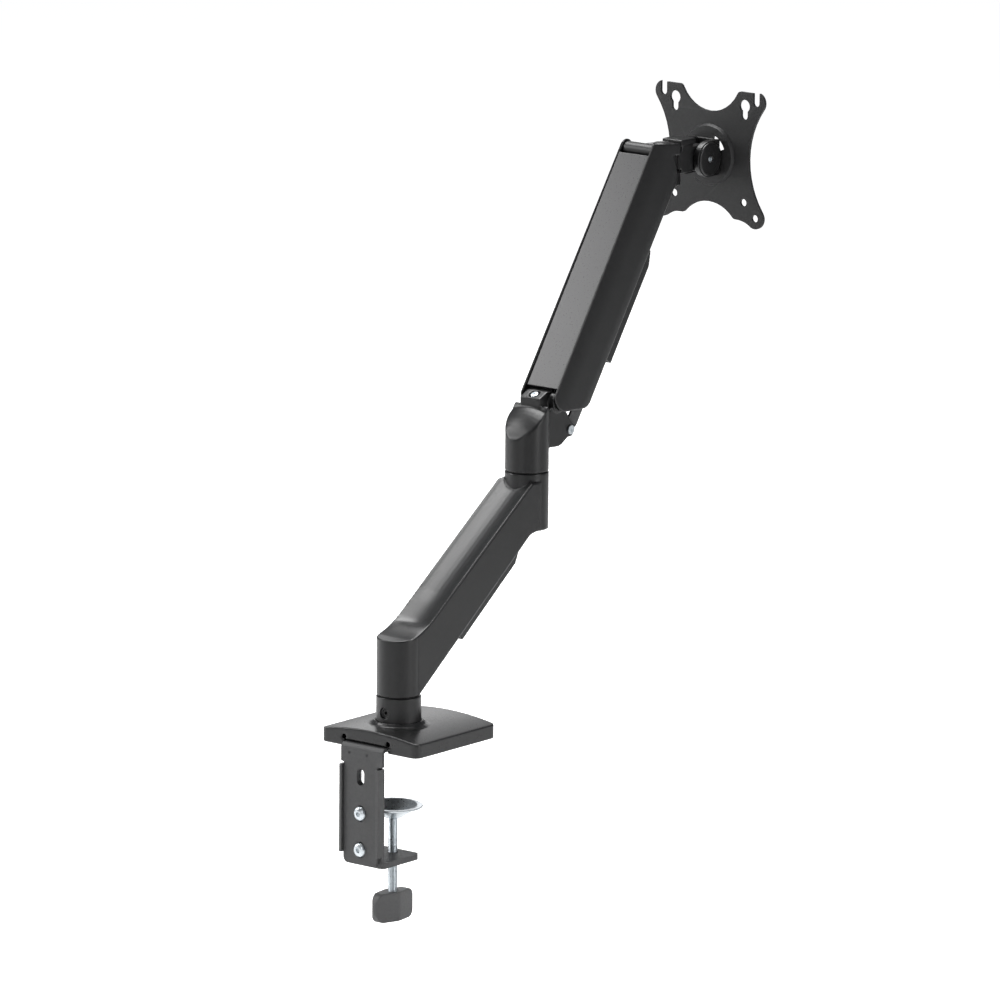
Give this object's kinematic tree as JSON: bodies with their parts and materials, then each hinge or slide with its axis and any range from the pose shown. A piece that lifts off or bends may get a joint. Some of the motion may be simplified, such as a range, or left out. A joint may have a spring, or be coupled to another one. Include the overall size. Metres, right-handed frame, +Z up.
{
  "type": "monitor arm",
  "caption": "Gas-spring monitor arm: a desk clamp and swivel post carry a lower beam, an elbow, a parallel-link lifting arm and a tilting, rotating screen plate.",
  "frame": {"origin": "on the base swivel axis at the underside of the base, where the pad meets the desk top", "axes": "+Z up along the post, +Y over the desk towards the screen, +X along the desk edge"},
  "size_m": [0.1184, 0.4618, 0.6536],
  "materials": {
    "black_plastic": "satin black injection-moulded plastic",
    "black_paint": "fine black powder coat on die-cast aluminium",
    "steel_paint": "dark grey powder coat on pressed steel",
    "black_steel": "black oxide steel",
    "zinc": "bright zinc plate",
    "black_tube": "gloss black paint",
    "chromed_rod": "ground and chromed",
    "nylon": "natural nylon",
    "rubber": "black sheet rubber"
  },
  "bodies": {
    "root": {"base_cover": "black_plastic", "base_plate": "steel_paint", "desk_pad": "rubber", "post_spindle": "zinc", "post_screw_1": "zinc", "post_screw_2": "zinc", "post_screw_3": "zinc", "post_screw_4": "zinc", "post_collar": "black_paint", "collar_screw": "black_steel", "base_washer": "nylon", "jaw_bracket": "steel_paint", "jaw_bolt_upper": "zinc", "jaw_nut_upper": "zinc", "jaw_bolt_lower": "zinc", "jaw_nut_lower": "zinc"},
    "clamp_foot": {"clamp_cup": "zinc"},
    "clamp_screw": {"clamp_rod": "zinc", "clamp_knob": "black_plastic"},
    "lower_arm": {"lower_arm": "black_paint", "base_bush": "nylon", "lower_cable_cover": "black_plastic", "elbow_bush": "nylon", "elbow_washer": "nylon"},
    "elbow": {"elbow_knuckle": "black_paint", "elbow_screw": "zinc", "elbow_screw_washer": "zinc", "tension_trunnion": "zinc", "link_screw_right": "zinc", "link_screw_left": "zinc"},
    "tension_screw": {"tension_screw": "zinc"},
    "upper_arm": {"upper_arm": "black_paint", "arm_top_cover": "black_plastic", "lift_pin": "black_steel", "lift_bush_left": "nylon", "lift_bush_right": "nylon", "tip_pin": "black_steel", "tip_bush_left": "nylon", "tip_bush_right": "nylon", "gas_pin": "zinc"},
    "parallel_link": {"parallel_link": "steel_paint", "upper_cable_cover": "black_plastic"},
    "gas_tube": {"gas_tube": "black_tube"},
    "gas_rod": {"gas_rod": "chromed_rod"},
    "arm_tip": {"tip_block": "black_paint", "tip_link_pin": "zinc", "pan_pin": "black_steel", "pan_washer": "nylon"},
    "head": {"head_yoke": "black_paint"},
    "tilt": {"tilt_housing": "black_paint", "tilt_cap": "black_plastic", "tilt_bolt": "zinc", "tilt_nut": "zinc", "plate_washer": "nylon"},
    "screen_plate": {"screen_plate": "steel_paint", "plate_bolt": "zinc"}
  },
  "joints": [
    {"name": "clamp_travel", "type": "slide", "parent": "root", "child": "clamp_foot", "axis": [0, 0, 1], "range_m": [-0.02375, 0.0275]},
    {"name": "clamp_turn", "type": "hinge", "parent": "clamp_foot", "child": "clamp_screw", "pos_m": [-0.0032, -0.0027, -0.1], "axis": [0, 0, 1], "range_deg": [-6850, 7930]},
    {"name": "base_swivel", "type": "hinge", "parent": "root", "child": "lower_arm", "pos_m": [0, 0, 0.06], "axis": [0, 0, 1], "range_deg": [-180, 180]},
    {"name": "elbow_swivel", "type": "hinge", "parent": "lower_arm", "child": "elbow", "pos_m": [0, 0.167, 0.205], "axis": [0, 0, 1], "range_deg": [-90, 90]},
    {"name": "tension_turn", "type": "hinge", "parent": "elbow", "child": "tension_screw", "pos_m": [0, 0.176, 0.2696], "axis": [0, -0.4226, 0.9063], "continuous": true},
    {"name": "arm_lift", "type": "hinge", "parent": "elbow", "child": "upper_arm", "pos_m": [0, 0.19, 0.262], "axis": [1, 0, 0], "range_deg": [-78, 6]},
    {"name": "link_swing", "type": "hinge", "parent": "elbow", "child": "parallel_link", "pos_m": [0, 0.2062, 0.2362], "axis": [1, 0, 0], "range_deg": [-78, 6]},
    {"name": "gas_swing", "type": "hinge", "parent": "upper_arm", "child": "gas_tube", "pos_m": [0, 0.30443, 0.42213], "axis": [1, 0, 0], "range_deg": [-1, 4]},
    {"name": "gas_stroke", "type": "slide", "parent": "gas_tube", "child": "gas_rod", "axis": [0, -0.5349, -0.8449], "range_m": [-0.026, 0.003]},
    {"name": "tip_level", "type": "hinge", "parent": "upper_arm", "child": "arm_tip", "pos_m": [0, 0.32016, 0.4579], "axis": [1, 0, 0], "range_deg": [-6, 78]},
    {"name": "head_pan", "type": "hinge", "parent": "arm_tip", "child": "head", "pos_m": [0, 0.346, 0.445], "axis": [0, 0, 1], "range_deg": [-50, 75]},
    {"name": "head_tilt", "type": "hinge", "parent": "head", "child": "tilt", "pos_m": [0, 0.394, 0.443], "axis": [1, 0, 0], "range_deg": [-45, 45]},
    {"name": "plate_rotate", "type": "hinge", "parent": "tilt", "child": "screen_plate", "pos_m": [0, 0.412, 0.443], "axis": [0, 1, 0], "continuous": true}
  ],
  "couplings": [
    {"joint": "clamp_turn", "follows": "clamp_travel", "rad_per_m": 5026.5},
    {"joint": "link_swing", "follows": "arm_lift", "ratio": 1},
    {"joint": "tip_level", "follows": "arm_lift", "ratio": -1},
    {"joint": "gas_swing", "follows": "arm_lift", "ratio": -0.0463},
    {"joint": "gas_stroke", "follows": "arm_lift", "m_per_rad": 0.01755}
  ]
}
